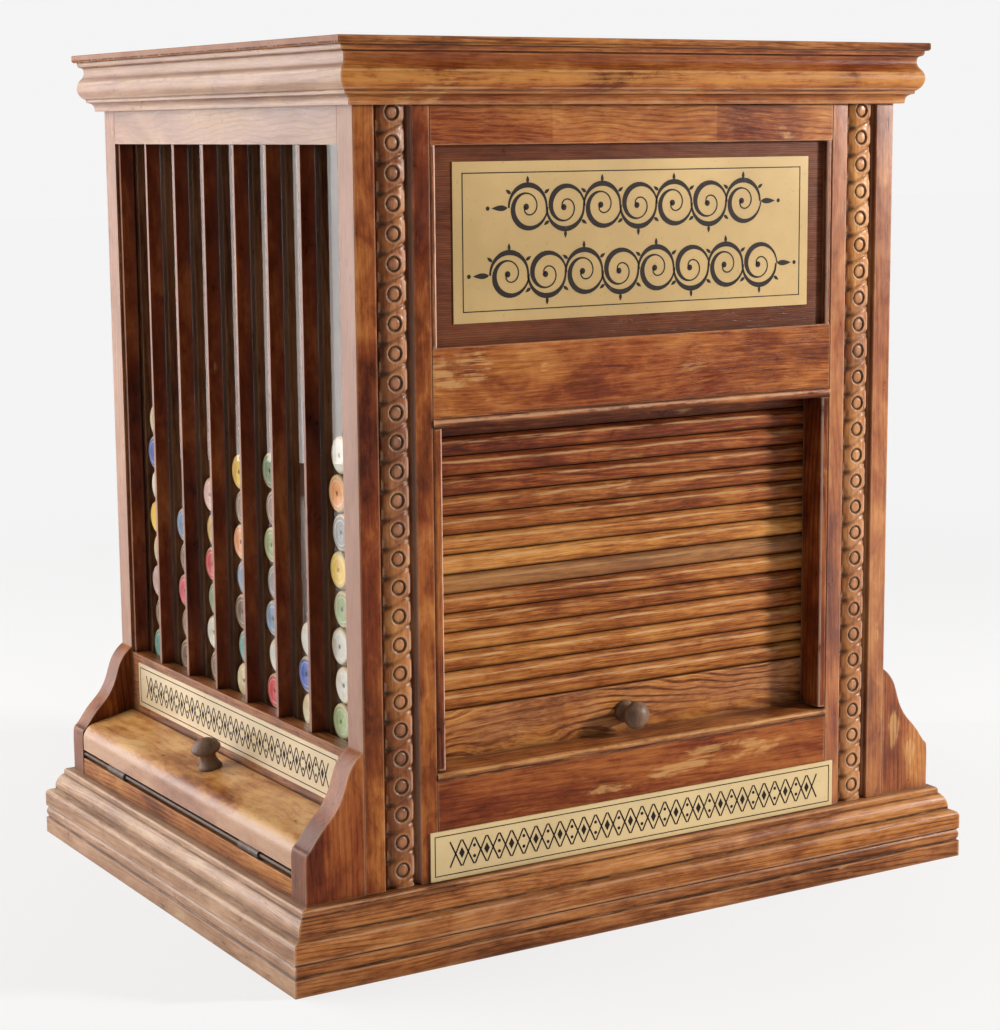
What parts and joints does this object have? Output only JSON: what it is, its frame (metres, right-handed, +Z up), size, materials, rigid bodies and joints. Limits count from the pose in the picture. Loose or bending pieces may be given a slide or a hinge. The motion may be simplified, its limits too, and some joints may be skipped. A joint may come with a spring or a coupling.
{
  "type": "counter-top thread cabinet",
  "caption": "Oak counter cabinet for cotton reels, with a sliding slatted door, glazed side chutes of reels and hinged trough lids under them.",
  "frame": {"origin": "middle of the base's footprint, on the surface it stands on", "axes": "+Z up, -Y out of the front with the sliding door, +X to the right seen from the front"},
  "size_m": [0.5934, 0.4644, 0.64],
  "materials": {
    "case_wood": "old satin varnish on oak",
    "moulding_wood": "old satin varnish, worn at the edges",
    "carved_wood": "carved oak, darkened in the hollows",
    "inner_wood": "plain dark board",
    "lid_wood": "satin varnish, worn",
    "door_wood": "satin varnish on oak slats",
    "dark_wood": "dark red-brown varnish",
    "knob_wood": "turned wood, rubbed",
    "reels": "turned birch reels with cotton thread",
    "plate_paint": "cream-gold paint, semi-matte",
    "hinge_metal": "dulled steel",
    "glass": "thin clear window glass",
    "canvas": "plain canvas backing"
  },
  "bodies": {
    "cabinet": {"back_frame": "inner_wood", "back_panel": "inner_wood", "base_back": "moulding_wood", "base_front": "moulding_wood", "base_left": "moulding_wood", "base_right": "moulding_wood", "bottom_board": "inner_wood", "cornice_back": "moulding_wood", "cornice_front": "moulding_wood", "cornice_left": "moulding_wood", "cornice_right": "moulding_wood", "door_guides": "inner_wood", "door_sill": "case_wood", "door_surround": "dark_wood", "front_bottom_rail": "case_wood", "front_middle_rail": "case_wood", "front_plate": "plate_paint", "front_top_rail": "case_wood", "hinge_rods": "hinge_metal", "hinge_strips": "lid_wood", "left_carved_strip": "carved_wood", "left_chute_back": "inner_wood", "left_chute_dividers": "inner_wood", "left_frieze": "case_wood", "left_front_stile": "case_wood", "left_front_wing": "case_wood", "left_glass": "glass", "left_glazing_bars": "dark_wood", "left_rear_wing": "case_wood", "left_reels": "reels", "left_sign_board": "case_wood", "right_carved_strip": "carved_wood", "right_chute_back": "inner_wood", "right_chute_dividers": "inner_wood", "right_frieze": "case_wood", "right_front_stile": "case_wood", "right_front_wing": "case_wood", "right_glass": "glass", "right_glazing_bars": "dark_wood", "right_rear_wing": "case_wood", "right_reels": "reels", "right_sign_board": "case_wood", "side_plates": "plate_paint", "sign_beads": "dark_wood", "sign_panel": "dark_wood", "sign_plate": "plate_paint", "store_floor": "inner_wood", "top_board": "moulding_wood", "trough_floors": "inner_wood"},
    "door": {"door_slats": "door_wood", "door_canvas": "canvas", "door_rail": "door_wood", "door_knob": "knob_wood"},
    "left_lid_body": {"left_lid": "lid_wood", "left_lid_knob": "knob_wood", "left_lid_hinges": "hinge_metal"},
    "right_lid_body": {"right_lid": "lid_wood", "right_lid_knob": "knob_wood", "right_lid_hinges": "hinge_metal"}
  },
  "joints": [
    {"name": "door_slide", "type": "slide", "parent": "cabinet", "child": "door", "axis": [0, 0, 1], "range_m": [0, 0.213]},
    {"name": "left_lid_hinge", "type": "hinge", "parent": "cabinet", "child": "left_lid_body", "pos_m": [-0.2752, 0, 0.0728], "axis": [0, -1, 0], "range_deg": [0, 120]},
    {"name": "right_lid_hinge", "type": "hinge", "parent": "cabinet", "child": "right_lid_body", "pos_m": [0.2752, 0, 0.0728], "axis": [0, 1, 0], "range_deg": [0, 120]}
  ]
}
